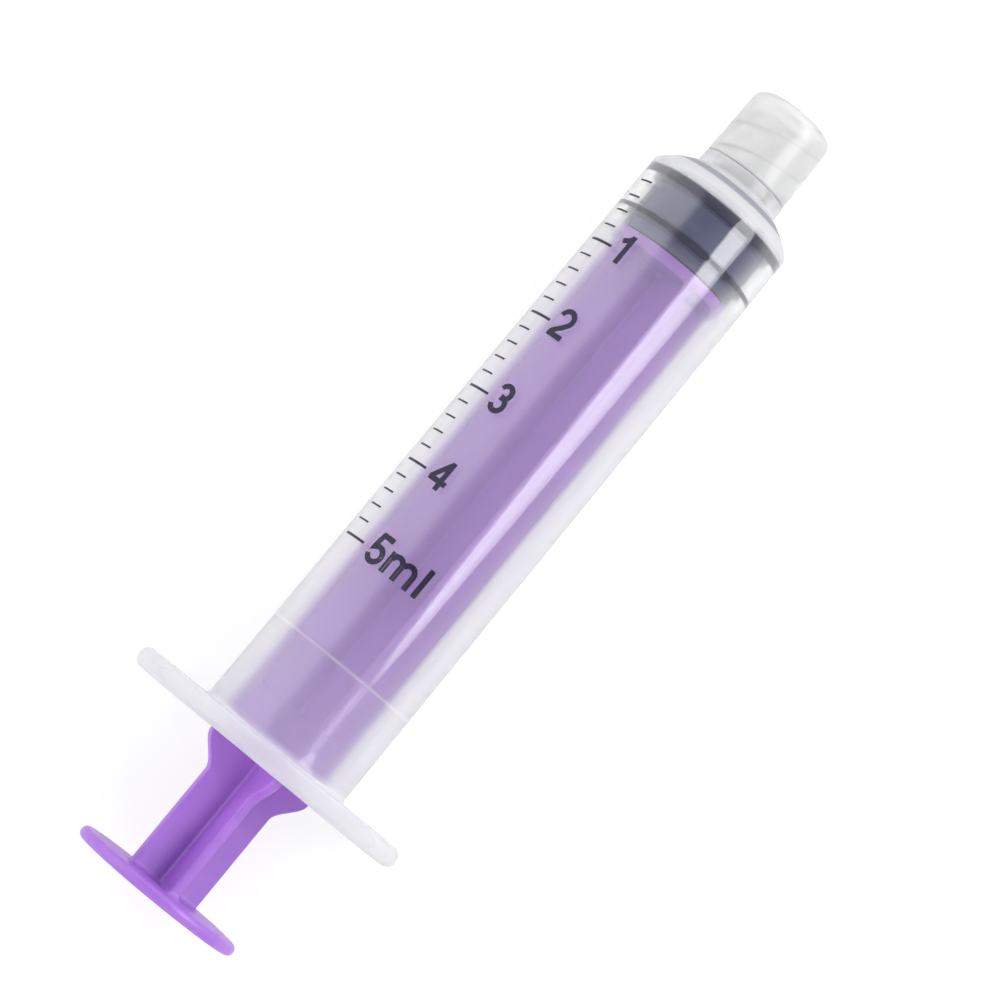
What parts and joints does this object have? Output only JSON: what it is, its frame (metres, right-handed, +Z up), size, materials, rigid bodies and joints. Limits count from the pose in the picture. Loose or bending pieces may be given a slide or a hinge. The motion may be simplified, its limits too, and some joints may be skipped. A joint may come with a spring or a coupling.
{
  "type": "oral syringe",
  "caption": "Clear oral dosing syringe with finger wings, a sliding purple plunger with a rubber seal, and a milky screw cap over its threaded tip.",
  "frame": {"origin": "under the middle of the syringe's length, at the level of the flange's lower flat edge", "axes": "+X along the barrel towards the tip cap, +Y along a finger wing, +Z up, square to the wings"},
  "size_m": [0.0864, 0.028, 0.0166],
  "materials": {
    "clear_barrel": "clear gloss, slightly hazy",
    "purple_rod": "moulded satin",
    "rubber_seal": "smooth satin",
    "milky_cap": "milky translucent, smooth",
    "scale_ink": "printed ink"
  },
  "bodies": {
    "barrel": {"barrel": "clear_barrel"},
    "seal": {"piston_seal": "rubber_seal"},
    "rod": {"plunger_rod": "purple_rod"},
    "cap": {"tip_cap": "milky_cap"}
  },
  "joints": [
    {"name": "plunger_slide", "type": "slide", "parent": "barrel", "child": "seal", "axis": [-1, 0, 0], "range_m": [0, 0.045]},
    {"name": "rod_spin", "type": "hinge", "parent": "seal", "child": "rod", "pos_m": [0, 0, 0.0083], "axis": [1, 0, 0], "continuous": true},
    {"name": "cap_pull", "type": "slide", "parent": "barrel", "child": "cap", "axis": [1, 0, 0], "range_m": [0, 0.012]}
  ]
}
